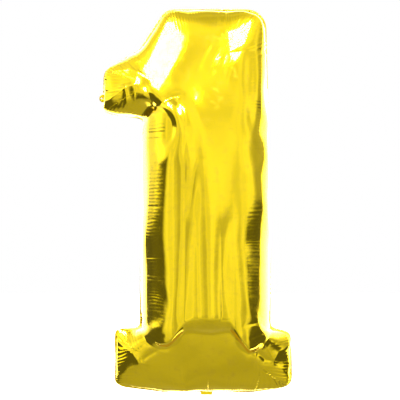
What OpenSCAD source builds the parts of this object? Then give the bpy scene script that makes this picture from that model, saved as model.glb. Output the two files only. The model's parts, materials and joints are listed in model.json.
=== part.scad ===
// Foil number balloon in the shape of a "1": two foil panels welded round their
// outline, with a fill tail at the bottom that holds a self-sealing film valve.
// +Z is up, the front faces -Y, and the weld lies in the plane Y = 0. The origin
// is the middle of the neck root, where the fill tail leaves the bottom weld.

/* [Body] */
// Height of the inflated balloon, from the bottom weld to the top weld
height = 860; // [780:10:900]
// Width of the inflated stem with its weld
stem_w = 290; // [270:2:300]
// Distance of the stem's middle left of the neck
stem_shift = 3; // [0:1:8]
// Width of the base bar with its weld
base_w = 402; // [390:2:430]
// Distance of the base bar's middle left of the neck
base_shift = 8; // [0:1:12]
// Height of the base bar's shoulders
base_h = 142; // [130:1:160]
// How far the flag reaches past the stem's left side
flag_reach = 84; // [70:1:95]
// Height of the flag's underside above the neck
flag_low = 616; // [600:1:630]
// Height of the flag's tip, where its sloping top edge starts
flag_tip = 712; // [700:1:725]
// Front-to-back depth of the inflated stem
depth = 256; // [240:2:290]

/* [Film] */
// Thickness of each foil panel as modelled
film = 0.5; // [0.4:0.05:0.8]
// Width of the weld that joins the panels
weld_w = 7; // [5:0.5:9]
// Thickness of each valve film as modelled
valve_film = 0.15; // [0.1:0.01:0.18]

/* [Fill tail] */
// Width of the fill tail
tail_w = 26; // [22:1:32]
// Length of the fill tail past its fold
tail_l = 55; // [40:1:70]
// How far the fold lies below the bottom weld
fold_drop = 5; // [4:0.5:7]
// Rise of the folded tail behind the base, in degrees
tail_rise = 10; // [0:1:15]
// Width of the valve films
valve_w = 20; // [16:1:21]
// How far the valve reaches up inside the body
valve_reach = 60; // [45:1:90]

/* [Hang tab] */
// Radius of the tab's round end
tab_r = 9; // [8:0.5:12]
// Radius of the hole in the tab
tab_hole_r = 2; // [1.5:0.25:3]
// Height of the tab's hole above the neck
tab_z = 660; // [650:1:690]

/* [Hidden] */
$fn = 64;

foil_gold = "gold";
film_clear = "gainsboro";

// Edges of the stem, the base and the flag, on the outside of the weld
stem_l = -stem_shift - stem_w / 2;
stem_r = -stem_shift + stem_w / 2;
base_l = -base_shift - base_w / 2;
base_r = -base_shift + base_w / 2;
flag_l = stem_l - flag_reach;

// The weld's inner line on the left and right, as [height, x] corners from the bottom up
left_corners = [
    [18, base_l + 20], [32, base_l + 8], [60, base_l + 5], [base_h - 26, base_l + 10],
    [base_h - 10, base_l + 30], [base_h - 6, stem_l + 4], [base_h + 24, stem_l + 7],
    [flag_low - 40, stem_l + 17], [flag_low - 4, stem_l + 16], [flag_low + 9, stem_l - 10],
    [flag_low + 11, flag_l + 26], [flag_low + 24, flag_l + 8], [flag_tip - 4, flag_l + 5],
    [flag_tip + 17, flag_l + 32], [height - 91, flag_l + 89],
    [height - 34, flag_l + 124], [height - 16, flag_l + 148]
];
right_corners = [
    [18, base_r - 20], [32, base_r - 9], [60, base_r - 7], [base_h - 28, base_r - 13],
    [base_h - 12, base_r - 30], [base_h - 4, stem_r + 2], [base_h + 28, stem_r - 8],
    [flag_low - 60, stem_r - 11], [flag_low, stem_r - 14], [height - 90, stem_r - 11],
    [height - 38, stem_r - 18], [height - 16, stem_r - 42]
];

// How far the bottom and the top welds bow out past their corners
bottom_bow = 11;
top_bow = 9;

// Heights of the rows of facets, closer together where the outline turns
row_heights = concat(
    [18, 20, 24, 31, 42, 58, 76, 94, base_h - 33, base_h - 22, base_h - 14, base_h - 9],
    [base_h - 5, base_h + 2, base_h + 14],
    [for (k = [0:7]) base_h + 40 + k * (flag_low - base_h - 80) / 7],
    [flag_low - 20, flag_low - 6, flag_low + 4, flag_low + 10, flag_low + 14, flag_low + 22],
    [flag_low + 38, flag_low + 64, flag_tip - 12, flag_tip + 6, flag_tip + 22, flag_tip + 48],
    [for (t = [72, 56, 43, 33, 25, 20, 17.5, 16]) height - t]
);
last = len(row_heights) - 1;
columns = 22;

// One pass of corner cutting, which rounds a line of corners
function rounded(line) = concat(
    [line[0]],
    [for (i = [0:len(line) - 2], t = [0.25, 0.75]) line[i] + t * (line[i + 1] - line[i])],
    [line[len(line) - 1]]
);
left_side = rounded(rounded(left_corners));
right_side = rounded(rounded(right_corners));
left_line = [for (z = row_heights) [lookup(z, left_side), z]];
right_line = [for (z = row_heights) [lookup(z, right_side), z]];

// Direction from a side of the outline into the balloon; turn is 1 on the left, -1 on the right
function inward(line, i, turn) =
    let (along = line[min(i + 1, last)] - line[max(i - 1, 0)])
    turn * [along[1], -along[0]] / norm(along);

// Profile of a quarter ellipse: 1 in the middle, 0 at the edge
function crown(u) = sqrt(max(0, 1 - u * u));
// The same with a flatter middle
function flat_crown(u, power) = sqrt(max(0, 1 - pow(abs(u), power)));

// Depth of the three inflated lobes over a place on the weld plane
bottom_weld = row_heights[0];
top_weld = row_heights[last];
end_l = 290;
base_d = 64;
flag_d = 78;
function stem_lobe(x, z, inset) =
    (depth / 2 - inset)
    * crown((x + stem_shift) / (stem_w / 2 - weld_w - inset))
    * crown(max(0, 1 - (z - bottom_weld) / end_l))
    * crown(max(0, 1 - (top_weld - z) / end_l));
function base_lobe(x, z, inset) =
    let (mid = (bottom_weld + base_h) / 2)
    (base_d - inset)
    * crown((z - mid) / (base_h - mid - weld_w - inset))
    * flat_crown((x + base_shift) / (base_w / 2 - weld_w - inset), 6);
function flag_lobe(x, z, inset) =
    let (mid = flag_tip - 12)
    (flag_d - inset)
    * crown((x - flag_l - 130) / (130 - weld_w - inset))
    * crown((z - mid) / (mid - flag_low - weld_w - inset));
function blended(a, b, c) = pow(pow(a, 4) + pow(b, 4) + pow(c, 4), 1 / 4);

// A point of the inflated surface, from its row and its column; inset is 0 on the
// outside of the film and the film's thickness on the inside
function surface_point(i, column, inset) =
    let (
        low = left_line[i] + inset * inward(left_line, i, 1),
        high = right_line[i] + inset * inward(right_line, i, -1),
        v = -cos(180 * column / columns),
        p = low + (1 + v) / 2 * (high - low),
        t = (row_heights[i] - bottom_weld) / (top_weld - bottom_weld),
        end_pull = pow(t, 8) * ((1 - v * v) * top_bow - inset)
                   - pow(1 - t, 8) * ((1 - v * v) * bottom_bow - inset),
        lobes = [stem_lobe(p[0], p[1], inset), base_lobe(p[0], p[1], inset),
                 flag_lobe(p[0], p[1], inset)],
        deep = blended(lobes[0], lobes[1], lobes[2]) * flat_crown(v, 10) * flat_crown(2 * t - 1, 60),
        on_edge = column == 0 || column == columns || i == 0 || i == last
    )
    [p[0], on_edge ? inset - film : -deep, p[1] + end_pull];

// The edge of the weld beside a row, one weld width outside the inflated surface
function weld_side(i, line, turn, level) =
    let (p = line[i] - weld_w * inward(line, i, turn))
    [p[0], level, p[1]];

// The edge of the weld below the bottom row or above the top row
function weld_end(row, direction, level) =
    let (inner = [for (j = [0:columns]) surface_point(row, j, 0)], slant = weld_w * 0.7)
    concat(
        [[inner[0][0] - slant, level, inner[0][2] + direction * slant]],
        [for (p = inner) [p[0], level, p[2] + direction * weld_w]],
        [[inner[columns][0] + slant, level, inner[columns][2] + direction * slant]]
    );

// A point's place on the plane of the weld
function on_plane(p) = [p[0], p[2]];

// All points of the outside or inside, the weld included, row by row
function surface_grid(inset) =
    let (level = inset - film)
    concat(
        weld_end(0, -1, level),
        [for (i = [0:last]) each concat(
            [weld_side(i, left_line, 1, level)],
            [for (j = [0:columns]) surface_point(i, j, inset)],
            [weld_side(i, right_line, -1, level)]
        )],
        weld_end(last, 1, level)
    );

// Corner numbers of the outer and inner surfaces' points
across = columns + 2;
up = last + 2;
function outer_at(i, j) = i * (across + 1) + j;
function inner_at(i, j) = outer_at(i, j) + (up + 1) * (across + 1);

// The two triangles of a four-sided patch, wound clockwise from outside
function patch(a, b, c, d) = [[a, b, c], [a, c, d]];

// One inflated foil shell with its flat half of the weld, open at the weld plane
module welded_shell() {
    faces = [
        for (i = [0:up - 1], j = [0:across - 1]) each concat(
            patch(outer_at(i, j), outer_at(i + 1, j), outer_at(i + 1, j + 1), outer_at(i, j + 1)),
            patch(inner_at(i, j), inner_at(i, j + 1), inner_at(i + 1, j + 1), inner_at(i + 1, j))
        ),
        for (j = [0:across - 1]) each concat(
            patch(outer_at(0, j), outer_at(0, j + 1), inner_at(0, j + 1), inner_at(0, j)),
            patch(outer_at(up, j + 1), outer_at(up, j), inner_at(up, j), inner_at(up, j + 1))
        ),
        for (i = [0:up - 1]) each concat(
            patch(outer_at(i + 1, 0), outer_at(i, 0), inner_at(i, 0), inner_at(i + 1, 0)),
            patch(outer_at(i, across), outer_at(i + 1, across),
                  inner_at(i + 1, across), inner_at(i, across))
        )
    ];
    polyhedron(points = concat(surface_grid(0), surface_grid(film)), faces = faces, convexity = 8);
}

// Round tab outside the flag's edge, both plies welded into one, with a hole to hang it by
edge_x = lookup(tab_z, left_side) - weld_w;
tab_hole_x = edge_x - tab_r * 0.42;
module hang_tab() {
    left_edge = [for (i = [0:last]) on_plane(weld_side(i, left_line, 1, 0))];
    color(foil_gold)
        translate([0, film, 0])
            rotate([90, 0, 0])
                linear_extrude(height = 2 * film)
                    difference() {
                        translate([edge_x, tab_z]) circle(r = tab_r);
                        polygon(concat(left_edge, [[0, height], [0, 0]]));
                        translate([tab_hole_x, tab_z]) circle(r = tab_hole_r);
                    }
}

// Short neck from the bottom weld to just above the fold
fold_gap = 0.6;
module neck_ply() {
    translate([-tail_w / 2, -film, -fold_drop + fold_gap])
        cube([tail_w, film, fold_drop + weld_w / 2 - fold_gap]);
}

// Room for one valve film between the panels, up through the neck and the weld
module valve_slot() {
    translate([-valve_w / 2, -valve_film, -fold_drop - 1])
        cube([valve_w, valve_film + 1, fold_drop + weld_w + film + 3]);
}

module foil_panel() {
    color(foil_gold)
        difference() {
            union() {
                welded_shell();
                neck_ply();
            }
            valve_slot();
        }
}

module front_foil() {
    foil_panel();
}

module rear_foil() {
    mirror([0, 1, 0]) foil_panel();
}

// Places a strip that starts at the fold and points back and up behind the base
fold_start = 1.2;
module at_fold() {
    translate([0, 0, -fold_drop]) rotate([tail_rise, 0, 0]) translate([0, fold_start, 0]) children();
}

// Foil ply of the fill tail below or above its valve films
module tail_ply() {
    ply = film - valve_film;
    color(foil_gold)
        at_fold()
            translate([-tail_w / 2, 0, valve_film]) cube([tail_w, tail_l, ply]);
}

module tail_front_foil() {
    translate([0, 0, -fold_drop]) rotate([tail_rise, 0, 0]) mirror([0, 0, 1])
        rotate([-tail_rise, 0, 0]) translate([0, 0, fold_drop]) tail_ply();
}

module tail_rear_foil() {
    tail_ply();
}

// Valve film inside the neck and the body
module valve_strip() {
    color(film_clear)
        translate([-valve_w / 2, -valve_film, -fold_drop + fold_gap])
            cube([valve_w, valve_film, fold_drop - fold_gap + valve_reach]);
}

module valve_front_film() {
    valve_strip();
}

module valve_rear_film() {
    mirror([0, 1, 0]) valve_strip();
}

// Valve film in the fill tail, short of the tail's open end
mouth_setback = 6;
module mouth_strip(level) {
    color(film_clear)
        at_fold()
            translate([-valve_w / 2, 0, level]) cube([valve_w, tail_l - mouth_setback, valve_film]);
}

module valve_mouth_front_film() {
    mouth_strip(-valve_film);
}

module valve_mouth_rear_film() {
    mouth_strip(0);
}

front_foil();
rear_foil();
hang_tab();
tail_front_foil();
tail_rear_foil();
valve_front_film();
valve_rear_film();
valve_mouth_front_film();
valve_mouth_rear_film();
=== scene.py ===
# %% [markdown]
# # A foil number balloon, step by step
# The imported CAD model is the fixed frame: it holds the balloon's size, its weld plane and
# the fold of its fill tail. Everything below is built in metres around that frame, with
# +Z up and the front facing -Y.

# %% Load the frame
import json
import math

import bpy
import numpy as np
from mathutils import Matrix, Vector
from mathutils.geometry import delaunay_2d_cdt


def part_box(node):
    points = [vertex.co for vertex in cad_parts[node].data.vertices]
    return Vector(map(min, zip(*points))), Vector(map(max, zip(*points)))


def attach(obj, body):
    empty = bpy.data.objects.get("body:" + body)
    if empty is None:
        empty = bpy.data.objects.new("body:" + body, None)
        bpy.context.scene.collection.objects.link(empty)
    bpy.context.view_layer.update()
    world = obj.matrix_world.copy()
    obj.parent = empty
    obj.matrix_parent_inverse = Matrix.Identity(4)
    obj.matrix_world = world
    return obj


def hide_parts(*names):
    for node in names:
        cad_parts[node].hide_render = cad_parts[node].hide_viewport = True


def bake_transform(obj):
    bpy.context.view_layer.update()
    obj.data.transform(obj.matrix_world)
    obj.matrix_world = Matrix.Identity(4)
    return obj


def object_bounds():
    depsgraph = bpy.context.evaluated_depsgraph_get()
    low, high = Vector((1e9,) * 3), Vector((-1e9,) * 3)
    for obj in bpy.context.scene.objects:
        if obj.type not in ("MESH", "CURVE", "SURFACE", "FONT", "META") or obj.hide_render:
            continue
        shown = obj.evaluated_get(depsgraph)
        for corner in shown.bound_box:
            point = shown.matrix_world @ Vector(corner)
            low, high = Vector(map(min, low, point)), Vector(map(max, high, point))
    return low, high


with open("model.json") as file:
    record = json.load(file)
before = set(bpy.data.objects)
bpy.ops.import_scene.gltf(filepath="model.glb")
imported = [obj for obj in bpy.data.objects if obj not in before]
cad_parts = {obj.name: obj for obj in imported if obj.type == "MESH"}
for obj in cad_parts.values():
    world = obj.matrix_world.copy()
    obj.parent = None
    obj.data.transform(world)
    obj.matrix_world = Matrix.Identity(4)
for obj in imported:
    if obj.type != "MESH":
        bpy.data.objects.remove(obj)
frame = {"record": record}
cad_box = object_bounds()
foil_low, foil_high = (np.array(p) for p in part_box("front_foil"))
HEIGHT = 0.860
SCALE = foil_high[2] / HEIGHT
print("front foil from", foil_low.round(4), "to", foil_high.round(4), "scale", round(SCALE, 4))


# %% [markdown]
# ## Camera
# A balloon like this is best seen straight on, from far away through a long lens, so that
# its two sides look parallel. The camera comes first, because it says which details matter.

# %% Camera
CAMERA_DISTANCE = 4.0
FRAMED_WIDTH = 0.898 * SCALE
AIM = Vector((-0.0144, 0.0, 0.4322)) * SCALE

camera_data = bpy.data.cameras.new("camera")
camera_data.sensor_width = 36.0
camera_data.lens = camera_data.sensor_width * CAMERA_DISTANCE / FRAMED_WIDTH
camera = bpy.data.objects.new("camera", camera_data)
bpy.context.scene.collection.objects.link(camera)
camera.location = AIM - Vector((0, CAMERA_DISTANCE, 0))
camera.rotation_euler = (math.radians(90), 0, 0)
bpy.context.scene.camera = camera
print("lens", round(camera_data.lens), "mm")


# %% [markdown]
# ## The cut of the film
# A real foil balloon starts as two flat sheets. The sheet is cut wider than the finished
# figure, because a flat tube of width w swells into a round one only 2w/pi wide. So the
# cut is drawn as a few corners, each with a radius, and the finished shape is left to the
# gas. Corners are in millimetres from the neck root, anticlockwise seen from the front.

# %% Corners of the cut
CUT = [
    # x, z, radius
    (5, -38, 0), (-150, -28, 0), (-200, -18, 32), (-212, 27, 0), (-225, 63, 0),
    (-232, 92, 22), (-205, 134, 14), (-211, 336, 0), (-224, 601, 14), (-262, 655, 28),
    (-247, 750, 34), (-184, 803, 0), (-97, 869, 34), (20, 887, 0), (114, 870, 0),
    (147, 838, 48), (172, 755, 0), (189, 605, 0), (204, 342, 0), (204, 138, 14),
    (217, 110, 22), (211, 48, 0), (194, -8, 32), (148, -24, 0),
]
GRID_STEP = 0.009 * SCALE
WELD_WIDTH = 0.007 * SCALE


def rounded_outline(corners, step):
    """The corners joined up, with an arc of points at each corner that has a radius."""
    points = []
    for i, (x, z, radius) in enumerate(corners):
        before, here, after = (Vector(corners[k % len(corners)][:2]) * 0.001 * SCALE
                               for k in (i - 1, i, i + 1))
        if radius == 0:
            points.append(here)
            continue
        back, on = (before - here).normalized(), (after - here).normalized()
        half = back.angle(on) / 2
        radius_m = radius * 0.001 * SCALE
        centre = here + (back + on).normalized() * radius_m / math.sin(half)
        start = here + back * radius_m / math.tan(half) - centre
        end = here + on * radius_m / math.tan(half) - centre
        turn = start.angle_signed(end)
        count = max(2, math.ceil(abs(turn) * radius_m / step))
        first = math.atan2(start.y, start.x)
        for k in range(count + 1):
            a = first - turn * k / count
            points.append(centre + Vector((math.cos(a), math.sin(a))) * radius_m)
    return points


def evenly_spaced(points, step):
    """The same closed line again, with points one step apart."""
    line = np.array([tuple(p) for p in points])
    closed = np.vstack([line, line[:1]])
    along = np.concatenate([[0], np.cumsum(np.linalg.norm(np.diff(closed, axis=0), axis=1))])
    at = np.linspace(0, along[-1], round(along[-1] / step), endpoint=False)
    return np.stack([np.interp(at, along, closed[:, k]) for k in (0, 1)], axis=1)


rim = evenly_spaced(rounded_outline(CUT, GRID_STEP), GRID_STEP)
rim_next = np.roll(rim, -1, axis=0)
rim_length = float(np.linalg.norm(rim_next - rim, axis=1).sum())


# %% [markdown]
# ## A mesh that film can fold along
# Cloth folds best on a mesh with no main direction, so the cut is filled with points in a
# honeycomb pattern and joined by a Delaunay triangulation. A helper tells how far a point
# is from the rim, and how far along the rim its nearest place is: both are used again for
# the puckers.

# %% Triangulate the cut
def to_rim(points):
    """Each point's distance from the rim, and its nearest place along the rim, in metres."""
    span = rim_next - rim
    length = np.linalg.norm(span, axis=1)
    start = np.concatenate([[0], np.cumsum(length)[:-1]])
    distance, along = np.empty(len(points)), np.empty(len(points))
    for first in range(0, len(points), 4000):
        part = points[first:first + 4000, None, :] - rim[None]
        t = np.clip((part * span).sum(2) / length**2, 0, 1)
        far = np.linalg.norm(part - t[..., None] * span, axis=2)
        best = far.argmin(1)
        row = np.arange(len(part))
        distance[first:first + 4000] = far[row, best]
        along[first:first + 4000] = start[best] + t[row, best] * length[best]
    return distance, along


def inside_rim(points):
    """Which points lie inside the rim: an upright ray from each crosses it an odd number of times."""
    x, z = points[:, :1], points[:, 1:]
    (x1, z1), (x2, z2) = rim.T, rim_next.T
    crosses = ((z1 > z) != (z2 > z)) & (x < (x2 - x1) * (z - z1) / (z2 - z1 + 1e-12) + x1)
    return crosses.sum(1) % 2 == 1


def honeycomb(low, high, step):
    """Points of a honeycomb over a box."""
    rows = []
    for j, z in enumerate(np.arange(low[1], high[1], step * math.sqrt(3) / 2)):
        x = np.arange(low[0] + (j % 2) * step / 2, high[0], step)
        rows.append(np.stack([x, np.full_like(x, z)], axis=1))
    return np.concatenate(rows)


fill = honeycomb(rim.min(0), rim.max(0), GRID_STEP)
fill = fill[inside_rim(fill)]
fill = fill[to_rim(fill)[0] > 0.62 * GRID_STEP]
flat = np.concatenate([rim, fill])
RIM_COUNT, FLAT_COUNT = len(rim), len(flat)
made = delaunay_2d_cdt([Vector(p) for p in flat], [(i, (i + 1) % RIM_COUNT) for i in range(RIM_COUNT)],
                       [list(range(RIM_COUNT))], 1, 1e-7)
triangles = np.array([list(f) for f in made[2]])
corner = flat[triangles]
turned = np.cross(corner[:, 1] - corner[:, 0], corner[:, 2] - corner[:, 0]) < 0
triangles[turned] = triangles[turned][:, ::-1]
print("flat sheet:", FLAT_COUNT, "points,", len(triangles), "triangles,", len(made[0]) - FLAT_COUNT, "added")


# %% [markdown]
# ## Two sheets welded at the rim
# The front and rear sheets share the rim's points, as a weld makes them do, and a strip
# outside the rim stands for the flat weld itself. The two sheets start a little apart, with
# a touch of seeded noise, so that the folds don't line up with the mesh.

# %% Join the sheets
START_GAP = 0.002
START_NOISE = 0.0004

tangent = np.roll(rim, -1, axis=0) - np.roll(rim, 1, axis=0)
tangent /= np.linalg.norm(tangent, axis=1, keepdims=True)
outward = np.stack([tangent[:, 1], -tangent[:, 0]], axis=1)
middle = rim.mean(0)
if ((rim + outward * 0.001 - middle)**2).sum() < ((rim - middle)**2).sum():
    outward = -outward
edge = rim + outward * WELD_WIDTH

fill_ids = np.arange(RIM_COUNT, FLAT_COUNT)
rear_id = np.concatenate([np.arange(RIM_COUNT), FLAT_COUNT + np.arange(len(fill_ids))])
EDGE_START = FLAT_COUNT + len(fill_ids)
flat_all = np.concatenate([flat, flat[fill_ids], edge])
side = np.concatenate([np.zeros(RIM_COUNT), -np.ones(len(fill_ids)), np.ones(len(fill_ids)),
                       np.zeros(RIM_COUNT)])
here, after = np.arange(RIM_COUNT), (np.arange(RIM_COUNT) + 1) % RIM_COUNT
front_tris = triangles
rear_tris = rear_id[triangles][:, ::-1]
weld_tris = np.concatenate([np.stack([here, EDGE_START + here, EDGE_START + after], axis=1),
                            np.stack([here, EDGE_START + after, after], axis=1)])
if np.cross(edge[0] - rim[0], edge[1] - rim[0]) < 0:
    weld_tris = weld_tris[:, ::-1]
start = np.stack([flat_all[:, 0], side * START_GAP, flat_all[:, 1]], axis=1)
start[:, 1] += np.random.default_rng(3).normal(0, START_NOISE, len(start))
print("balloon mesh:", len(start), "points")


# %% [markdown]
# ## Blow it up
# Blender's Cloth does what the gas does: an even push from inside, against film that
# hardly stretches. Gravity is off, since it is nothing beside the pressure. The pressure
# acts on the two panels only, not on the weld. The result is read back as plain points,
# and the modifier goes away with its object.

# %% Inflate with Cloth
FRAMES = 56


def inflate(points, faces, pressed):
    """Where the points of a closed film bag go when it is blown up."""
    mesh = bpy.data.meshes.new("bag")
    mesh.from_pydata(points.tolist(), [], faces.tolist())
    bag = bpy.data.objects.new("bag", mesh)
    bpy.context.scene.collection.objects.link(bag)
    bag.vertex_groups.new(name="pressed").add(list(range(pressed)), 1.0, "REPLACE")
    cloth = bag.modifiers.new("film", "CLOTH")
    film = cloth.settings
    film.quality = 5
    film.mass = 0.05
    film.tension_stiffness, film.compression_stiffness, film.shear_stiffness = 30, 10, 5
    film.bending_stiffness = 0.5
    film.tension_damping = film.compression_damping = film.shear_damping = 8
    film.bending_damping = 0.5
    film.air_damping = 3
    film.use_pressure = True
    film.uniform_pressure_force = 5
    film.vertex_group_pressure = "pressed"
    film.effector_weights.gravity = 0
    cloth.collision_settings.use_collision = False
    cloth.point_cache.frame_start, cloth.point_cache.frame_end = 1, FRAMES
    scene = bpy.context.scene
    scene.frame_start, scene.frame_end = 1, FRAMES
    for number in range(1, FRAMES + 1):
        scene.frame_set(number)
    blown = bag.evaluated_get(bpy.context.evaluated_depsgraph_get()).to_mesh()
    result = np.zeros(len(points) * 3)
    blown.vertices.foreach_get("co", result)
    bpy.data.objects.remove(bag)
    scene.frame_set(1)
    return result.reshape(-1, 3)


bag_tris = np.concatenate([front_tris, rear_tris, weld_tris])
blown = inflate(start, bag_tris, EDGE_START)
print("inflated box", blown.min(0).round(3), blown.max(0).round(3))


# %% [markdown]
# ## Smooth what is too fine for the mesh
# Real film puckers every few millimetres along its weld. A 9 mm mesh can only show that as
# coarse dents, so they are smoothed away here, and finer puckers are put back later as
# pleats. Taubin's smoothing pulls each point to its neighbours' middle and then pushes
# it back a little further, so the balloon doesn't shrink.

# %% Smooth the film
def neighbours(faces):
    """Every edge of the mesh, once in each direction."""
    pairs = np.concatenate([faces[:, [0, 1]], faces[:, [1, 2]], faces[:, [2, 0]]])
    pairs = np.concatenate([pairs, pairs[:, ::-1]])
    return np.unique(pairs, axis=0)


def smoothed(points, pairs, weight, rounds):
    """Taubin smoothing, with a share from 0 to 1 for each point."""
    count = np.bincount(pairs[:, 0], minlength=len(points))[:, None]
    points = points.copy()
    for _ in range(rounds):
        for pull in (0.55, -0.56):
            total = np.zeros_like(points)
            np.add.at(total, pairs[:, 0], points[pairs[:, 1]])
            points += pull * weight[:, None] * (total / count - points)
    return points


pairs = neighbours(bag_tris)
calm = smoothed(blown, pairs, np.ones(len(blown)), 60)
rim_pairs = np.concatenate([np.stack([here, after], 1), np.stack([after, here], 1)])
for ring in (rim_pairs, rim_pairs + EDGE_START):
    on_ring = np.zeros(len(calm))
    on_ring[ring[:, 0]] = 0.8
    count = np.maximum(np.bincount(ring[:, 0], minlength=len(calm)), 1)[:, None]
    for _ in range(6):
        total = np.zeros_like(calm)
        np.add.at(total, ring[:, 0], calm[ring[:, 1]])
        calm += on_ring[:, None] * 0.5 * (total / count - calm)
print("smoothed; moved at most", round(float(np.abs(calm - blown).max()) * 1000, 1), "mm")


# %% [markdown]
# ## Fit to the frame
# Film under pressure settles where its small wrinkles let it. The simulated outline misses
# the finished one by more than a centimetre, and by several near some corners. The finished
# outline is therefore given too, one corner for each corner of the cut and in the same
# order, and is stretched to the CAD box. Every weld point moves to its own place on it, and
# the film between follows smoothly.

# %% Corners of the finished outline
FINISHED = [
    # x, z, radius
    (5, 0, 0), (-95, 1, 0), (-207, 15, 20), (-206, 45, 0), (-205, 80, 0),
    (-208, 143, 12), (-150, 146, 9), (-149, 342, 0), (-140, 614, 10), (-234, 629, 16),
    (-231, 724, 30), (-150, 771, 0), (-92, 861, 34), (5, 861, 0), (75, 861, 0),
    (134, 861, 44), (136, 755, 0), (140, 605, 0), (145, 342, 0), (144, 146, 9),
    (190, 137, 18), (192, 70, 0), (193, 13, 24), (105, 1, 0),
]


def marked_outline(corners):
    """A dense closed outline, its running length, and the running length at each corner."""
    line = evenly_spaced(rounded_outline(corners, GRID_STEP / 3), GRID_STEP / 9)
    length = float(np.linalg.norm(np.roll(line, -1, axis=0) - line, axis=1).sum())
    along = np.arange(len(line)) * length / len(line)
    marks = []
    for x, z, _ in corners:
        marks.append(along[np.linalg.norm(line - np.array([x, z]) * 0.001 * SCALE, axis=1).argmin()])
    marks[0] = 0.0
    return line, along, np.array(marks + [length])


cut_line, cut_along, cut_marks = marked_outline(CUT)
made_line, made_along, made_marks = marked_outline(FINISHED)
own_along = np.array([cut_along[np.linalg.norm(cut_line - p, axis=1).argmin()] for p in rim])
goal_along = np.interp(own_along, cut_marks, made_marks)
goal = np.stack([np.interp(goal_along, np.append(made_along, made_marks[-1]),
                           np.append(made_line[:, k], made_line[0, k])) for k in (0, 1)], axis=1)
goal_low, goal_high = goal.min(0), goal.max(0)
box_low, box_high = np.array([foil_low[0], 0.0]), foil_high[[0, 2]]
goal = box_low + (goal - goal_low) * (box_high - box_low) / (goal_high - goal_low)

shift = goal - calm[EDGE_START:][:, [0, 2]]
reach = np.linalg.norm(flat_all[:, None] - rim[None], axis=2) + 0.002
share = reach**-3
share /= share.sum(1, keepdims=True)
moved = share @ shift
moved[:RIM_COUNT] = shift
moved[EDGE_START:] = shift
calm[:, 0] += moved[:, 0]
calm[:, 2] += moved[:, 1]
print("outline moved by", (np.linalg.norm(shift, axis=1).mean() * 1000).round(1), "mm on average, at most",
      (np.linalg.norm(shift, axis=1).max() * 1000).round(1))


# %% [markdown]
# ## Finer triangles
# Mirror-bright film shows every facet, so the mesh is refined twice by Loop's rule, which
# puts each new point at a weighted mean of the four around it. The flat pattern's
# coordinates are refined with the same weights: they say where on the cut a point lies.

# %% Loop subdivision
def loop_subdivide(values, faces):
    """One round of Loop subdivision of a triangle mesh with an open border."""
    edges = np.sort(np.concatenate([faces[:, [0, 1]], faces[:, [1, 2]], faces[:, [2, 0]]]), axis=1)
    opposite = np.concatenate([faces[:, 2], faces[:, 0], faces[:, 1]])
    unique, index, uses = np.unique(edges, axis=0, return_inverse=True, return_counts=True)
    index = index.ravel()
    far = np.zeros((len(unique), values.shape[1]))
    np.add.at(far, index, values[opposite])
    ends = values[unique[:, 0]] + values[unique[:, 1]]
    border = (uses == 1)[:, None]
    middles = np.where(border, ends / 2, ends * 3 / 8 + far / 8)
    count = np.zeros(len(values))
    total = np.zeros_like(values)
    for a, b in ((0, 1), (1, 0)):
        np.add.at(count, unique[:, a], 1)
        np.add.at(total, unique[:, a], values[unique[:, b]])
    beta = (0.625 - (0.375 + 0.25 * np.cos(2 * np.pi / np.maximum(count, 3)))**2) / np.maximum(count, 1)
    moved = values * (1 - count * beta)[:, None] + total * beta[:, None]
    border_edges = unique[uses == 1]
    border_total, border_count = np.zeros_like(values), np.zeros(len(values))
    for a, b in ((0, 1), (1, 0)):
        np.add.at(border_total, border_edges[:, a], values[border_edges[:, b]])
        np.add.at(border_count, border_edges[:, a], 1)
    on_border = border_count == 2
    moved[on_border] = values[on_border] * 0.75 + border_total[on_border] / 8
    e = index.reshape(3, -1) + len(values)
    new = np.concatenate([
        np.stack([faces[:, 0], e[0], e[2]], 1), np.stack([faces[:, 1], e[1], e[0]], 1),
        np.stack([faces[:, 2], e[2], e[1]], 1), np.stack([e[0], e[1], e[2]], 1)])
    return np.concatenate([moved, middles]), new


def refined(faces, rounds=2):
    """A panel's points, flat coordinates and triangles after some rounds of subdivision."""
    used, faces = np.unique(faces, return_inverse=True)
    faces = faces.reshape(-1, 3)
    values = np.hstack([calm[used], flat_all[used]])
    for _ in range(rounds):
        values, faces = loop_subdivide(values, faces)
    return values[:, :3], values[:, 3:], faces


def rim_place(flat_at):
    """Distance from the rim (0 on the weld strip), place along it, and which points lie inside."""
    distance, along = to_rim(flat_at)
    inside = inside_rim(flat_at)
    return distance, along, inside


front_points, front_flat, front_faces = refined(np.concatenate([front_tris, weld_tris]))
rear_points, rear_flat, rear_faces = refined(np.concatenate([rear_tris, weld_tris[:, ::-1]]))
front_distance, front_along, front_inside = rim_place(front_flat)
rear_distance, rear_along, rear_inside = rim_place(rear_flat)
print("panels:", len(front_faces), "and", len(rear_faces), "triangles")


# %% [markdown]
# ## A stem that runs on
# On a real balloon the stem is a stiff tube, which pushes on into the base and under the
# flag until the film folds over it. The simulated film is softer and sinks in there. So the
# panel is lifted to a half-round tube wherever it lies below one, with a small round at the
# meeting line. The weld itself stays where it is.

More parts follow.
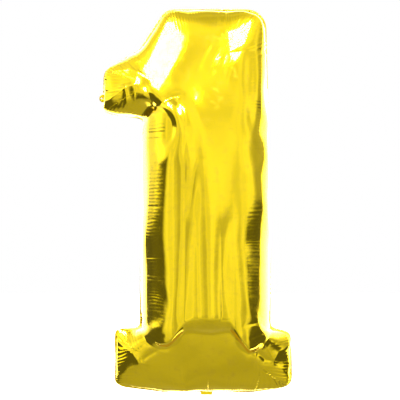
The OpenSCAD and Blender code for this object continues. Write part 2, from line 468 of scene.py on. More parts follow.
# %% Let the stem tube show
STEM_MIDDLE, STEM_HALF, STEM_DEPTH = -0.002 * SCALE, 0.146 * SCALE, 0.113 * SCALE
MEETING_ROUND = 0.0022 * SCALE
STEM_LOW_END = [
    # x, z where the tube ends above the base, mm
    (-149, 140), (-126, 116), (-104, 102), (-86, 102), (-64, 114), (-45, 122), (-25, 122),
    (15, 120), (35, 124), (52, 126), (64, 118), (93, 90), (109, 93), (125, 105), (146, 138),
]
STEM_LOW_CAP = [
    # x, and over what length the tube rounds off there, mm
    (-149, 12), (-104, 16), (-78, 20), (-52, 45), (-30, 55), (20, 55), (45, 48), (72, 26),
    (93, 16), (146, 12),
]
STEM_HIGH_END = [
    # x, z where it ends under the flag and in the head, mm
    (-149, 634), (-111, 664), (-80, 676), (-60, 668), (-40, 640), (0, 560), (146, 500),
]
STEM_HIGH_CAP = [
    # x, and over what length it rounds off there, mm
    (-149, 28), (-100, 28), (-80, 50), (-60, 110), (-40, 170), (0, 170), (146, 100),
]


def hold_rim(distance, inside, reach=0.012):
    """0 at the weld, rising to 1 a little way into the panel."""
    share = np.clip(distance / (reach * SCALE), 0, 1) * inside
    return share * share * (3 - 2 * share)


def fill_stem(points, distance, inside, towards):
    """Lifts a panel to the stem's tube; towards is -1 for the front, 1 for the rear."""
    points = points.copy()
    across = (points[:, 0] - STEM_MIDDLE) / STEM_HALF
    tube = STEM_DEPTH * np.sqrt(np.clip(1 - across**2, 0, 1))
    up = points[:, 2]
    low_end, low_cap, high_end, high_cap = (
        np.interp(points[:, 0], *(np.array(ends).T * 0.001 * SCALE))
        for ends in (STEM_LOW_END, STEM_LOW_CAP, STEM_HIGH_END, STEM_HIGH_CAP))
    end = np.clip(np.minimum((up - low_end) / low_cap, (high_end - up) / high_cap), 0, 1)
    tube *= np.sqrt(1 - (1 - end)**2)
    own = points[:, 1] * towards
    top = np.maximum(own, tube)
    lifted = top + MEETING_ROUND * np.log1p(np.exp(-np.abs(own - tube) / MEETING_ROUND))
    points[:, 1] += (lifted - own) * hold_rim(distance, inside) * towards
    return points


front_points = fill_stem(front_points, front_distance, front_inside, -1)
rear_points = fill_stem(rear_points, rear_distance, rear_inside, 1)
print("front panel now", round(-float(front_points[:, 1].min()), 4), "m deep")


# %% [markdown]
# ## Creases
# Where the outline turns inward the film can't lie smooth: it is pulled tight between the
# inner corner and the round of the body, and folds. These folds are drawn on the finished
# front as lines. A lobe is a full round finger of film beside a fold, a swell a
# wide soft one, a dip has a round bottom, and a fold a sharp one. A negative depth stands
# out of the surface. Dips and folds fade out at their ends, and lobes and swells have their
# own strength along the line.

# %% Lobes, dips and folds of the front
LOBE, SWELL, DIP, FOLD = "lobe", "swell", "dip", "fold"
CREASES = [
    # kind, depth, width, line of (x, z) or (x, z, strength), all in mm
    (LOBE, -7, 50, [(-95, 606, 0.6), (-98, 540, 0.6), (-98, 420, 0.55), (-97, 290, 0.7), (-98, 153, 1)]),
    (LOBE, -7, 42, [(98, 470, 0), (102, 300, 0.6), (103, 134, 1)]),
    (LOBE, -4, 27, [(0, 520, 0), (6, 320, 0.7), (8, 182, 1)]),
    (DIP, 3.5, 15, [(-62, 672), (-41, 623), (-26, 578), (-21, 522), (-30, 440), (-36, 380)]),
    (SWELL, -13, 180, [(84, 800, 1), (88, 812, 1)]),
    (SWELL, -8, 50, [(-93, 330, 0), (-91, 560, 0.9), (-90, 612, 1)]),
    (DIP, 3.5, 17, [(-20, 500), (-32, 410), (-41, 320), (-46, 230), (-50, 163), (-64, 118), (-92, 92)]),
    (DIP, 3.0, 16, [(58, 440), (42, 350), (38, 280), (40, 219), (46, 174), (64, 129), (100, 84)]),
    (FOLD, 3.0, 7, [(-185, 165), (-149, 140), (-126, 114), (-104, 103), (-86, 104), (-60, 124)]),
    (FOLD, 3.0, 7, [(185, 165), (146, 138), (125, 104), (109, 95), (93, 91), (62, 122)]),
    (FOLD, 1.0, 3, [(76, 153), (98, 160), (128, 165)]),
    (FOLD, 0.8, 3, [(92, 126), (110, 133), (132, 141)]),
    (FOLD, 0.6, 3, [(-126, 137), (-104, 133), (-88, 136)]),
    (FOLD, -4.0, 14, [(-240, 134), (-203, 120), (-171, 96), (-147, 72), (-120, 60)]),
    (FOLD, -3.0, 13, [(-120, 88), (-147, 70), (-194, 44), (-230, 24)]),
    (FOLD, 3.0, 6, [(-150, 68), (-128, 88), (-104, 103)]),
    (FOLD, 5.0, 6, [(96, 92), (112, 95), (131, 78), (149, 72), (176, 60)]),
    (FOLD, -4.0, 13, [(128, 74), (149, 73), (160, 91), (187, 105), (220, 116)]),
    (FOLD, -3.0, 12, [(128, 84), (149, 71), (178, 46), (214, 20)]),
    (FOLD, -3.0, 8, [(-226, 720), (-189, 721), (-171, 723), (-149, 713), (-129, 699), (-122, 684)]),
    (FOLD, -7.0, 16, [(-246, 640), (-216, 657), (-198, 668), (-180, 683), (-158, 688), (-136, 684)]),
    (FOLD, -2.0, 5, [(-184, 692), (-179, 672), (-176, 640)]),
    (FOLD, 4.0, 7, [(-142, 698), (-130, 672), (-116, 639), (-112, 620)]),
    (FOLD, 3.5, 8, [(-165, 618), (-138, 626), (-111, 637), (-93, 648), (-77, 657), (-56, 662), (-40, 668)]),
    (FOLD, 2.0, 5, [(-132, 600), (-138, 609), (-160, 627), (-173, 645)]),
    (FOLD, -0.5, 5, [(9, 782), (-8, 746), (-26, 700)]),
    (FOLD, 0.5, 5, [(20, 784), (3, 750), (-12, 714)]),
    (FOLD, -0.5, 5, [(34, 776), (15, 742), (3, 712)]),
    (FOLD, 0.4, 5, [(41, 764), (27, 736), (15, 706)]),
    (FOLD, -0.4, 4, [(44, 762), (34, 724), (27, 690)]),
    (FOLD, -0.35, 4, [(60, 760), (46, 720), (38, 688)]),
    (FOLD, -0.3, 4, [(72, 756), (56, 720), (46, 676)]),
    (DIP, 3.0, 13, [(96, 790), (96, 740), (95, 690), (97, 640), (100, 560)]),
    (FOLD, 0.9, 9, [(10, 736), (40, 752), (70, 760), (105, 765), (150, 768)]),
]


def crease_shape(kind, distance, reach):
    """How far the film is displaced, as a share of the depth, at some distance from a line."""
    if kind == LOBE:
        return np.clip(1 - (distance / reach)**2, 0, 1)
    if kind == SWELL:
        return np.clip(1 - (distance / reach)**2, 0, 1)**2
    if kind == DIP:
        return np.exp(-(distance / reach)**2)
    soft = 0.0016 * SCALE
    return np.exp(-(np.sqrt(distance**2 + soft**2) - soft) / reach)


def press_creases(points, creases, hold, towards):
    """Moves a panel's points in Y along each crease, less so near the weld."""
    points = points.copy()
    flat_here = points[:, [0, 2]]
    for kind, depth, width, rows in creases:
        line = np.array([row[:2] for row in rows]) * 0.001 * SCALE
        margin = max(0.08, width * 0.001) * SCALE
        near = ((flat_here > line.min(0) - margin) & (flat_here < line.max(0) + margin)).all(1)
        at = flat_here[near]
        start, span = line[:-1], np.diff(line, axis=0)
        length = np.linalg.norm(span, axis=1)
        before = np.concatenate([[0], np.cumsum(length)])
        part = at[:, None] - start[None]
        t = np.clip((part * span).sum(2) / length**2, 0, 1)
        away = np.linalg.norm(part - t[..., None] * span, axis=2)
        best = away.argmin(1)
        row = np.arange(len(at))
        run = before[best] + t[row, best] * length[best]
        if kind in (LOBE, SWELL):
            strength = np.interp(run, before, [r[2] for r in rows])
        else:
            strength = np.clip(np.minimum(run, before[-1] - run) / (0.25 * before[-1]), 0, 1)
            strength = strength * strength * (3 - 2 * strength)
        shape = crease_shape(kind, away[row, best], width * 0.001 * SCALE)
        points[near, 1] -= depth * 0.001 * SCALE * shape * strength * hold[near] * towards
    return points


def moved_a_little(creases, amount, seed):
    """The larger creases again, each shifted by a few millimetres, for the panel behind."""
    draw = np.random.default_rng(seed)
    shifted = []
    for kind, depth, width, rows in creases:
        dx, dz = draw.uniform(-amount, amount, 2)
        if abs(depth) >= 3:
            shifted.append((kind, depth, width, [(row[0] + dx, row[1] + dz, *row[2:]) for row in rows]))
    return shifted


REAR_CREASES = moved_a_little(CREASES, 5, 11)
front_points = press_creases(front_points, CREASES, hold_rim(front_distance, front_inside), -1)
rear_points = press_creases(rear_points, REAR_CREASES, hold_rim(rear_distance, rear_inside), 1)
print(len(CREASES), "creases in front,", len(REAR_CREASES), "behind")


# %% [markdown]
# ## Puckers along the weld
# Round the rim the film has more length than the curve it now lies on, so it gathers in
# pleats across the weld, which fade over a few centimetres. The larger ones are shaped
# here, about 15 mm apart, and finer ones between them are left to the film's material.
# Both panels pleat together, because the weld holds them, and the strength, reach and
# spacing of the pleats wander a little round the rim.

# %% Pleat the rim
PLEAT_SPACING = 0.0150
PLEAT_HEIGHT = 0.00055
PLEAT_REACH = 0.018


def wander(at, seed, scale, count=6):
    """A smooth random curve round the rim, from about -1 to 1."""
    draw = np.random.default_rng(seed)
    turns = 2 * np.pi * at / rim_length
    waves = np.unique(np.round(draw.uniform(0.4, 1.6, count) * rim_length / scale))
    return sum(math.sqrt(2 / len(waves)) * np.cos(k * turns + draw.uniform(0, 6.28)) for k in waves)


def vertex_normals(points, faces):
    """Area-weighted normals."""
    a, b, c = (points[faces[:, k]] for k in range(3))
    face = np.cross(b - a, c - a)
    total = np.zeros_like(points)
    for k in range(3):
        np.add.at(total, faces[:, k], face)
    return total / np.maximum(np.linalg.norm(total, axis=1, keepdims=True), 1e-12)


def pleat(points, faces, distance, along, inside, towards):
    """Moves a panel's points along its normals in pleats; towards is -1 for the front, 1 for the rear."""
    depth = np.where(inside, distance, 0)
    turns = along / PLEAT_SPACING + 0.7 * wander(along, 5, 0.05)
    strength = np.clip(0.75 + 0.6 * wander(along, 6, 0.12), 0.12, 1.6)
    reach = PLEAT_REACH * np.clip(1 + 0.6 * wander(along, 7, 0.06), 0.35, 2)
    rounds = round(rim_length / PLEAT_SPACING) / (rim_length / PLEAT_SPACING)
    wave = np.sin(2 * np.pi * turns * rounds)
    fade = np.exp(-depth / reach) * np.where(inside, 1, 0.8)
    lift = PLEAT_HEIGHT * SCALE * strength * wave * fade
    normal = vertex_normals(points, faces)
    move = normal * lift[:, None] * np.where(inside, 1, 0)[:, None] * towards
    move[:, 1] += np.where(inside, 0, lift)
    return points + move


front_points = pleat(front_points, front_faces, front_distance, front_along, front_inside, -1)
rear_points = pleat(rear_points, rear_faces, rear_distance, rear_along, rear_inside, 1)
print("pleats:", round(rim_length / PLEAT_SPACING))


# %% [markdown]
# ## Gold foil
# The film is clear plastic over vapour-deposited aluminium, tinted yellow. Light passes
# the tint twice, so it colours the reflection, and the film's own front face adds a weak
# white one: a metallic base with a thin coat.

# %% Gold foil material
def node_in(tree, kind, **values):
    """Adds a shader node and sets its plain properties."""
    node = tree.nodes.new(kind)
    for key, value in values.items():
        setattr(node, key, value)
    return node


def math_node(tree, kind, *inputs):
    """The output of a new Math node, whose inputs are numbers or sockets."""
    node = node_in(tree, "ShaderNodeMath", operation=kind)
    for socket, value in zip(node.inputs, inputs):
        if isinstance(value, (int, float)):
            socket.default_value = value
        else:
            tree.links.new(value, socket)
    return node.outputs[0]


def film_detail():
    """Node group: the fine height of welded film, and a mask of its scuffs."""
    tree = bpy.data.node_groups.new("film_detail", "ShaderNodeTree")
    face = tree.interface
    face.new_socket("Along", in_out="INPUT", socket_type="NodeSocketFloat")
    face.new_socket("In", in_out="INPUT", socket_type="NodeSocketFloat")
    face.new_socket("Place", in_out="INPUT", socket_type="NodeSocketVector")
    face.new_socket("Height", in_out="OUTPUT", socket_type="NodeSocketFloat")
    face.new_socket("Scuff", in_out="OUTPUT", socket_type="NodeSocketFloat")
    given = node_in(tree, "NodeGroupInput")
    result = node_in(tree, "NodeGroupOutput")

    def noise(source, scale, detail):
        node = node_in(tree, "ShaderNodeTexNoise")
        node.inputs["Scale"].default_value = scale
        node.inputs["Detail"].default_value = detail
        tree.links.new(source, node.inputs["Vector"])
        return node.outputs["Fac"]

    drift = math_node(tree, "MULTIPLY", noise(given.outputs["Place"], 22, 1), 9.0)
    turns = math_node(tree, "MULTIPLY", given.outputs["Along"], 2 * math.pi / FINE_PLEAT)
    wave = math_node(tree, "SINE", math_node(tree, "ADD", turns, drift))
    depth = math_node(tree, "ABSOLUTE", given.outputs["In"])
    fade = math_node(tree, "EXPONENT", math_node(tree, "MULTIPLY", depth, -1 / FINE_REACH))
    patch = node_in(tree, "ShaderNodeMapRange")
    tree.links.new(noise(given.outputs["Place"], 9, 1), patch.inputs["Value"])
    patch.inputs["From Min"].default_value, patch.inputs["From Max"].default_value = 0.42, 0.62
    patch.inputs["To Min"].default_value, patch.inputs["To Max"].default_value = 0.15, 1.0
    pleats = math_node(tree, "MULTIPLY", math_node(tree, "MULTIPLY", wave, fade), patch.outputs[0])
    crinkle = math_node(tree, "MULTIPLY", noise(given.outputs["Place"], 34, 3), CRINKLE)
    height = math_node(tree, "MULTIPLY_ADD", pleats, FINE_HEIGHT, crinkle)
    tree.links.new(height, result.inputs["Height"])
    scuff = node_in(tree, "ShaderNodeMapRange")
    tree.links.new(noise(given.outputs["Place"], 60, 6), scuff.inputs["Value"])
    scuff.inputs["From Min"].default_value, scuff.inputs["From Max"].default_value = 0.55, 0.8
    tree.links.new(scuff.outputs[0], result.inputs["Scuff"])
    return tree


FINE_PLEAT = 0.0074 * SCALE
FINE_REACH = 0.026 * SCALE
FINE_HEIGHT = 0.00048 * SCALE
CRINKLE = 0.00035 * SCALE
detail_group = film_detail()


def gold_foil():
    """The material of both panels, the tab and the tail."""
    material = bpy.data.materials.new("gold_foil")
    material.use_nodes = True
    tree = material.node_tree
    shader = tree.nodes["Principled BSDF"]
    shader.inputs["Metallic"].default_value = 1.0
    shader.inputs["Coat Weight"].default_value = 0.35
    shader.inputs["Coat Roughness"].default_value = 0.03
    shader.inputs["Coat IOR"].default_value = 1.5
    rim_map = node_in(tree, "ShaderNodeUVMap", uv_map="rim_map")
    split = node_in(tree, "ShaderNodeSeparateXYZ")
    place = node_in(tree, "ShaderNodeTexCoord")
    detail = node_in(tree, "ShaderNodeGroup", node_tree=detail_group)
    tree.links.new(rim_map.outputs[0], split.inputs[0])
    tree.links.new(split.outputs["X"], detail.inputs["Along"])
    tree.links.new(split.outputs["Y"], detail.inputs["In"])
    tree.links.new(place.outputs["Object"], detail.inputs["Place"])
    bump = node_in(tree, "ShaderNodeBump")
    bump.inputs["Distance"].default_value = 1.0
    tree.links.new(detail.outputs["Height"], bump.inputs["Height"])
    tree.links.new(bump.outputs[0], shader.inputs["Normal"])
    tint = node_in(tree, "ShaderNodeMix", data_type="RGBA")
    tint.inputs["A"].default_value = (0.93, 0.68, 0.004, 1)
    tint.inputs["B"].default_value = (0.88, 0.62, 0.02, 1)
    tree.links.new(detail.outputs["Scuff"], tint.inputs["Factor"])
    tree.links.new(tint.outputs["Result"], shader.inputs["Base Color"])
    matte = node_in(tree, "ShaderNodeMapRange")
    matte.inputs["To Min"].default_value, matte.inputs["To Max"].default_value = 0.09, 0.2
    tree.links.new(detail.outputs["Scuff"], matte.inputs["Value"])
    tree.links.new(matte.outputs[0], shader.inputs["Roughness"])
    return material


def clear_film():
    """The valve's film: clear plastic, slightly milky."""
    material = bpy.data.materials.new("clear_film")
    material.use_nodes = True
    shader = material.node_tree.nodes["Principled BSDF"]
    shader.inputs["Base Color"].default_value = (0.9, 0.93, 0.94, 1)
    shader.inputs["Roughness"].default_value = 0.25
    shader.inputs["IOR"].default_value = 1.5
    shader.inputs["Alpha"].default_value = 0.35
    return material


foil, film = gold_foil(), clear_film()
print("materials:", foil.name, film.name)


# %% [markdown]
# ## Panels as pieces
# Each panel becomes one mesh object. The two plies of the weld are set a fraction of a
# millimetre apart, and each panel carries a UV map that holds the distance along the rim
# and from the rim, which the film's material reads.

# %% Make the panel objects
PLY_GAP = 0.00025


def panel(name, points, faces, distance, along, inside, towards):
    """A smooth mesh object of one panel, with its rim map."""
    points = points.copy()
    points[:, 1] += towards * PLY_GAP * np.clip(1 - distance / 0.01, 0, 1)
    mesh = bpy.data.meshes.new(name)
    mesh.from_pydata(points.tolist(), [], faces.tolist())
    mesh.polygons.foreach_set("use_smooth", np.ones(len(faces), bool))
    rim_map = mesh.uv_layers.new(name="rim_map")
    loops = faces.ravel()
    signed = np.where(inside, distance, -distance)
    rim_map.data.foreach_set("uv", np.stack([along[loops], signed[loops]], 1).ravel().astype(np.float32))
    mesh.materials.append(foil)
    piece = bpy.data.objects.new(name, mesh)
    bpy.context.scene.collection.objects.link(piece)
    return piece


front_panel = panel("front_panel", front_points, front_faces, front_distance, front_along, front_inside, -1)
rear_panel = panel("rear_panel", rear_points, rear_faces, rear_distance, rear_along, rear_inside, 1)


# %% [markdown]
# ## Fill tail and valve
# At the bottom the two panels run on into a narrow neck and a flat tail, folded back behind
# the base after filling. Between them lie two strips of clear film: gas pushes them apart
# on its way in and presses them together afterwards, which is the whole valve. Every strip
# is one ribbon that follows the same path: down the neck, round the fold, back along the
# tail. They differ in width, length and place in the stack, so one small tree of geometry
# nodes sweeps them all, with the width, the curl of the far end and the film as its inputs.

# %% Ribbons for the tail and the valve
tail_low, tail_high = (np.array(p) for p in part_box("tail_front_foil"))
valve_low, valve_high = (np.array(p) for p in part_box("valve_front_film"))
mouth_high = np.array(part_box("valve_mouth_front_film")[1])
joint = frame["record"]["behaviour"]["joints"][0]
FOLD_AT = Vector(joint["pos_m"])
TAIL_RISE = math.radians(10)
FOLD_RADIUS = 0.0010 * SCALE
tail_length = float(tail_high[1]) / math.cos(TAIL_RISE)
mouth_length = float(mouth_high[1]) / math.cos(TAIL_RISE)


def tail_path(top, length, level, step=0.0008):
    """(y, z) points of one ribbon of the stack; level is its height above the middle."""
    middle = []
    for z in np.arange(top, FOLD_AT.z + FOLD_RADIUS, -step):
        middle.append((0.0, float(z), -math.pi / 2))
    count = 12
    for k in range(count + 1):
        heading = -math.pi / 2 + (math.pi / 2 + TAIL_RISE) * k / count
        turn = heading + math.pi / 2
        middle.append((FOLD_RADIUS * (1 - math.cos(turn)),
                       FOLD_AT.z + FOLD_RADIUS * (1 - math.sin(turn)), heading))
    y, z, heading = middle[-1]
    for d in np.arange(step, length - y, step * 2):
        middle.append((y + d * math.cos(heading), z + d * math.sin(heading), heading))
    return [(y - level * math.sin(a), z + level * math.cos(a)) for y, z, a in middle]


def ribbon_tree():
    """Geometry nodes: a flat ribbon swept along a path, its far end curled a little."""
    tree = bpy.data.node_groups.new("film_ribbon", "GeometryNodeTree")
    face = tree.interface
    face.new_socket("Path", in_out="INPUT", socket_type="NodeSocketGeometry")
    for name in ("Width", "Reach", "Curl"):
        face.new_socket(name, in_out="INPUT", socket_type="NodeSocketFloat")
    face.new_socket("Film", in_out="INPUT", socket_type="NodeSocketMaterial")
    face.new_socket("Ribbon", in_out="OUTPUT", socket_type="NodeSocketGeometry")
    given = node_in(tree, "NodeGroupInput")
    result = node_in(tree, "NodeGroupOutput")
    half = math_node(tree, "MULTIPLY", given.outputs["Width"], 0.5)

    start, end = node_in(tree, "ShaderNodeCombineXYZ"), node_in(tree, "ShaderNodeCombineXYZ")
    tree.links.new(math_node(tree, "MULTIPLY", half, -1.0), start.inputs["X"])
    tree.links.new(half, end.inputs["X"])
    section = node_in(tree, "GeometryNodeCurvePrimitiveLine")
    tree.links.new(start.outputs[0], section.inputs["Start"])
    tree.links.new(end.outputs[0], section.inputs["End"])
    even = node_in(tree, "GeometryNodeResampleCurve")
    even.inputs["Count"].default_value = 15
    tree.links.new(section.outputs["Curve"], even.inputs["Curve"])

    path = node_in(tree, "GeometryNodeMeshToCurve")
    sweep = node_in(tree, "GeometryNodeCurveToMesh")
    tree.links.new(given.outputs["Path"], path.inputs["Mesh"])
    tree.links.new(path.outputs["Curve"], sweep.inputs["Curve"])
    tree.links.new(even.outputs["Curve"], sweep.inputs["Profile Curve"])

    at = node_in(tree, "ShaderNodeSeparateXYZ")
    tree.links.new(node_in(tree, "GeometryNodeInputPosition").outputs[0], at.inputs[0])
    share = math_node(tree, "DIVIDE", at.outputs["Y"], given.outputs["Reach"])
    out = math_node(tree, "MAXIMUM", math_node(tree, "SUBTRACT", share, 0.5), 0.0)
    out = math_node(tree, "MULTIPLY", out, 2.0)
    aside = math_node(tree, "DIVIDE", at.outputs["X"], half)
    bend = math_node(tree, "MULTIPLY", math_node(tree, "POWER", out, 2.0),
                     math_node(tree, "MULTIPLY", aside, aside))
    lift = node_in(tree, "ShaderNodeCombineXYZ")
    tree.links.new(math_node(tree, "MULTIPLY", bend, given.outputs["Curl"]), lift.inputs["Z"])
    curl = node_in(tree, "GeometryNodeSetPosition")
    tree.links.new(sweep.outputs["Mesh"], curl.inputs["Geometry"])
    tree.links.new(lift.outputs[0], curl.inputs["Offset"])

    real = node_in(tree, "GeometryNodeRealizeInstances")
    paint = node_in(tree, "GeometryNodeSetMaterial")
    tree.links.new(curl.outputs[0], real.inputs[0])
    tree.links.new(real.outputs[0], paint.inputs["Geometry"])
    tree.links.new(given.outputs["Film"], paint.inputs["Material"])
    tree.links.new(paint.outputs[0], result.inputs[0])
    return tree


def far_from_rim(mesh):
    """Smooth shading, and a rim map that says the film is nowhere near a puckered rim."""
    mesh.polygons.foreach_set("use_smooth", [True] * len(mesh.polygons))
    rim_map = mesh.uv_layers.new(name="rim_map")
    rim_map.data.foreach_set("uv", [0.0, 1.0] * len(mesh.loops))


RIBBON_TREE = ribbon_tree()


def ribbon(name, width, path, reach, curl, material):
    """A film ribbon along a path of (y, z) points, as a plain mesh object."""
    line = bpy.data.meshes.new(name + "_path")
    line.from_pydata([(0.0, y, z) for y, z in path], [(i, i + 1) for i in range(len(path) - 1)], [])
    maker = bpy.data.objects.new(name + "_path", line)
    bpy.context.scene.collection.objects.link(maker)
    nodes = maker.modifiers.new("ribbon", "NODES")
    nodes.node_group = RIBBON_TREE
    sockets = {item.name: item.identifier for item in RIBBON_TREE.interface.items_tree}
    for key, value in (("Width", width), ("Reach", reach), ("Curl", curl), ("Film", material)):
        nodes[sockets[key]] = value
    maker.update_tag()
    graph = bpy.context.evaluated_depsgraph_get()
    mesh = bpy.data.meshes.new_from_object(maker.evaluated_get(graph))
    bpy.data.objects.remove(maker)
    mesh.name = name
    far_from_rim(mesh)
    piece = bpy.data.objects.new(name, mesh)
    bpy.context.scene.collection.objects.link(piece)
    return piece


STACK = 0.00030 * SCALE
VALVE_STACK = 0.00010 * SCALE
NECK_TOP = 0.006 * SCALE
tail_width = float(tail_high[0] - tail_low[0])
valve_width = float(valve_high[0] - valve_low[0])
paths = {
    "tail_front": tail_path(NECK_TOP, tail_length, -STACK),
    "tail_rear": tail_path(NECK_TOP, tail_length, STACK),
    "valve_front": tail_path(float(valve_high[2]), mouth_length, -VALVE_STACK),
    "valve_rear": tail_path(float(valve_high[2]), mouth_length, VALVE_STACK),
}
END_CURL = {"tail_front": -0.0006, "tail_rear": 0.0014, "valve_front": -0.0002, "valve_rear": 0.0006}
ribbons = {}
for name, path in paths.items():
    width, skin = (tail_width, foil) if name.startswith("tail") else (valve_width, film)
    ribbons[name] = ribbon(name, width, path, tail_length, END_CURL[name], skin)


def run_length(path):
    """The length of a path."""
    return sum(math.dist(a, b) for a, b in zip(path, path[1:]))


print({name: round(run_length(path), 4) for name, path in paths.items()})


# %% [markdown]
# ## Hang tab
# Both films run out into a small lug on the edge of the flag, welded right through, with a
# punched hole for a thread. The lug is a flat disc with a low rim round its hole.

# %% Hang tab
tab_low, tab_high = (np.array(p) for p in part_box("hang_tab"))
hole = next(m for m in frame["record"]["mounts"] if m["name"] == "hang_tab_hole")
HOLE_AT = Vector(hole["pos_m"])
HOLE_RADIUS = hole["dims"]["r_mm"] * 0.001


LUG_RINGS = [
    # share of the way from the hole to the edge, half of the thickness there in metres
    (0.0, 0.00025), (0.08, 0.00045), (0.2, 0.0003), (0.6, 0.00028), (0.93, 0.00026), (1.0, 0.00012),
]


def lug(name, segments=72):
    """A disc of film with a hole: rings of points on both faces, joined round the edges."""
    radius = float(tab_high[2] - tab_low[2]) / 2
    centre = Vector((float(tab_low[0]) + radius, 0, HOLE_AT.z))
    points, faces = [], []
    for face_side in (-1, 1):
        for share, half in LUG_RINGS:
            for k in range(segments):
                a = 2 * math.pi * k / segments
                ray = Vector((math.cos(a), 0, math.sin(a)))
                inner, outer = HOLE_AT + ray * HOLE_RADIUS, centre + ray * radius
                point = inner.lerp(outer, share)
                points.append((point.x, face_side * half, point.z))
    per_side = len(LUG_RINGS) * segments
    for i in range(len(LUG_RINGS) - 1):
        for k in range(segments):
            a, b = i * segments + k, i * segments + (k + 1) % segments
            faces.append((a, b, b + segments, a + segments))
            faces.append(tuple(v + per_side for v in (a, a + segments, b + segments, b)))
    last = (len(LUG_RINGS) - 1) * segments
    for k in range(segments):
        a, b = k, (k + 1) % segments
        faces.append((a, a + per_side, b + per_side, b))
        faces.append((last + a, last + b, last + b + per_side, last + a + per_side))
    mesh = bpy.data.meshes.new(name)
    mesh.from_pydata(points, [], faces)
    mesh.materials.append(foil)
    far_from_rim(mesh)
    piece = bpy.data.objects.new(name, mesh)
    bpy.context.scene.collection.objects.link(piece)
    return piece


tab = lug("tab")
print("tab hole at", tuple(round(v, 4) for v in HOLE_AT), "radius", HOLE_RADIUS)


# %% [markdown]
# ## Studio
# Bright film shows nothing but its surroundings, so the surroundings are the picture. The
# world's brightness is drawn by direction: an even wall in front, dimmer towards the floor
# and with two dim screens in it, a dark room low at the sides, and a bright backdrop behind
# the balloon, which its edges mirror. Only reflections see this: to the camera the world is
# plain white. Two soft boxes above make the white highlights.

# %% World, lights and floor
BACKDROP, DARK_ROOM, CEILING, FLOOR_GLOW = 4.5, 0.12, 0.72, 0.48
DIM_SCREENS = ((-16, 14, 0.62), (38, 12, 0.6))


def studio_world():
    """White to the camera; to reflections, a bright backdrop and a dim room."""
    world = bpy.data.worlds.new("studio")
    bpy.context.scene.world = world
    world.use_nodes = True
    tree = world.node_tree
    background = tree.nodes["Background"]
    background.inputs["Color"].default_value = (1, 1, 1, 1)
    place = node_in(tree, "ShaderNodeTexCoord")
    axes = node_in(tree, "ShaderNodeSeparateXYZ")
    tree.links.new(place.outputs["Generated"], axes.inputs[0])

    def number(kind, *inputs):
        return math_node(tree, kind, *inputs)

    def ramp(value, low, high, out_low=0.0, out_high=1.0):
        node = node_in(tree, "ShaderNodeMapRange", interpolation_type="SMOOTHSTEP")
        tree.links.new(value, node.inputs["Value"])
        for name, setting in (("From Min", low), ("From Max", high),
                              ("To Min", out_low), ("To Max", out_high)):
            if isinstance(setting, (int, float)):
                node.inputs[name].default_value = setting
            else:
                tree.links.new(setting, node.inputs[name])
        return node.outputs[0]

    # turn is the angle from the front, side the same with a minus on the left
    x, y, z = axes.outputs
    turn = number("ARCTAN2", number("ABSOLUTE", x), number("MULTIPLY", y, -1.0))
    side = number("ARCTAN2", x, number("MULTIPLY", y, -1.0))
    dark_end = ramp(x, -0.1, 0.1, math.radians(118), math.radians(100))
    dark_gone = number("ADD", dark_end, math.radians(10))
    # The upper half: wall, sides, backdrop and ceiling
    upper = ramp(z, 0.84, 0.97, 1.04, CEILING)
    side_dim = ramp(z, 0.2, 0.5, ramp(x, -0.1, 0.1, 1.3, 0.48), 1.0)
    upper = number("MULTIPLY", upper, ramp(turn, math.radians(70), math.radians(82), 1.0, side_dim))
    upper = ramp(turn, dark_end, dark_gone, upper, BACKDROP)
    upper = ramp(z, 0.84, 0.97, upper, CEILING)
    # The lower half: wall with its screens, dark room, backdrop and floor
    front_low = ramp(z, -0.72, -0.04, 0.52, 1.02)
    for middle, half, dim in DIM_SCREENS:
        off = number("ABSOLUTE", number("SUBTRACT", side, math.radians(middle)))
        screen = ramp(off, math.radians(half - 5), math.radians(half + 3), dim, 1.0)
        front_low = number("MULTIPLY", front_low, ramp(z, -0.5, -0.2, 1.0, screen))
    lower = ramp(turn, math.radians(56), math.radians(68), front_low, DARK_ROOM)
    lower = ramp(turn, dark_end, dark_gone, lower, BACKDROP)
    lower = ramp(z, -0.85, -0.68, FLOOR_GLOW, lower)
    uneven = node_in(tree, "ShaderNodeTexNoise")
    uneven.inputs["Scale"].default_value = 2.6
    uneven.inputs["Detail"].default_value = 2
    tree.links.new(place.outputs["Generated"], uneven.inputs["Vector"])
    # The two halves meet in a soft horizon, and a slow noise makes the whole uneven
    horizon_low = ramp(turn, math.radians(50), math.radians(66), -0.16, -0.03)
    horizon_high = ramp(turn, math.radians(50), math.radians(66), 0.12, 0.03)
    seen = ramp(z, horizon_low, horizon_high, lower, upper)
    least, most = ramp(z, -0.3, 0.0, 0.94, 0.84), ramp(z, -0.3, 0.0, 1.06, 1.18)
    seen = number("MULTIPLY", seen, ramp(uneven.outputs["Fac"], 0.35, 0.65, least, most))
    light_path = node_in(tree, "ShaderNodeLightPath")
    strength = ramp(light_path.outputs["Is Glossy Ray"], 0.4, 0.6, 1.0, seen)
    tree.links.new(strength, background.inputs["Strength"])
    return world


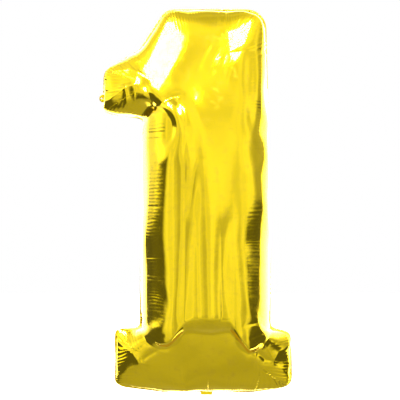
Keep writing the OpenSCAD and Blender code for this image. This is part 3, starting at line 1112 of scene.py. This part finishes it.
def soft_box(name, place, size, power):
    """A square soft box that looks at the balloon and that the camera doesn't see."""
    data = bpy.data.lights.new(name, "AREA")
    data.size, data.energy = size, power
    lamp = bpy.data.objects.new(name, data)
    bpy.context.scene.collection.objects.link(lamp)
    lamp.location = AIM + Vector(place)
    lamp.rotation_euler = (-Vector(place)).to_track_quat("-Z", "Y").to_euler()
    lamp.visible_camera = False
    return lamp


studio_world()
soft_box("soft_box_left", (-1.3, -1.0, 1.7), 1.0, 150)
soft_box("soft_box_right", (0.86, -1.44, 1.78), 0.85, 120)

TAIL_ROOM, FLOOR_GAP, FLOOR_HALF = 0.06, 0.03, 6.0
floor_z = cad_box[0][2] - TAIL_ROOM - FLOOR_GAP
floor_mesh = bpy.data.meshes.new("floor")
floor_mesh.from_pydata([(x * FLOOR_HALF, y * FLOOR_HALF, floor_z)
                        for x, y in ((-1, -1), (1, -1), (1, 1), (-1, 1))], [], [(0, 1, 2, 3)])
floor = bpy.data.objects.new("floor", floor_mesh)
bpy.context.scene.collection.objects.link(floor)
floor.visible_glossy = False
floor_paint = bpy.data.materials.new("white_floor")
floor_paint.use_nodes = True
floor_paint.node_tree.nodes["Principled BSDF"].inputs["Base Color"].default_value = (1, 1, 1, 1)
floor_mesh.materials.append(floor_paint)
bpy.context.scene.view_settings.view_transform = "Standard"
print("floor at", round(floor_z, 4), "m, tail room", TAIL_ROOM, "m")


# %% [markdown]
# ## Tie the panels and the tab to the frame
# The panels and the tab belong to the balloon's body and move with it as they are. The four
# ribbons run from that body through the fold into the tail's body; here their placing is only
# baked into their points, and they are tied to neither body.
# Each piece takes the place of the plain CAD solids that stand for the same film.

# %% Frame calls
for piece, node in ((front_panel, "front_foil"), (rear_panel, "rear_foil")):
    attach(piece, "balloon")
    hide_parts(node)

REPLACED = {
    "tail_front": ("tail_front_foil",),
    "tail_rear": ("tail_rear_foil",),
    "valve_front": ("valve_front_film", "valve_mouth_front_film"),
    "valve_rear": ("valve_rear_film", "valve_mouth_rear_film"),
}
for name, piece in ribbons.items():
    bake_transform(piece)
    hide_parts(*REPLACED[name])
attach(tab, "balloon")
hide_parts("hang_tab")
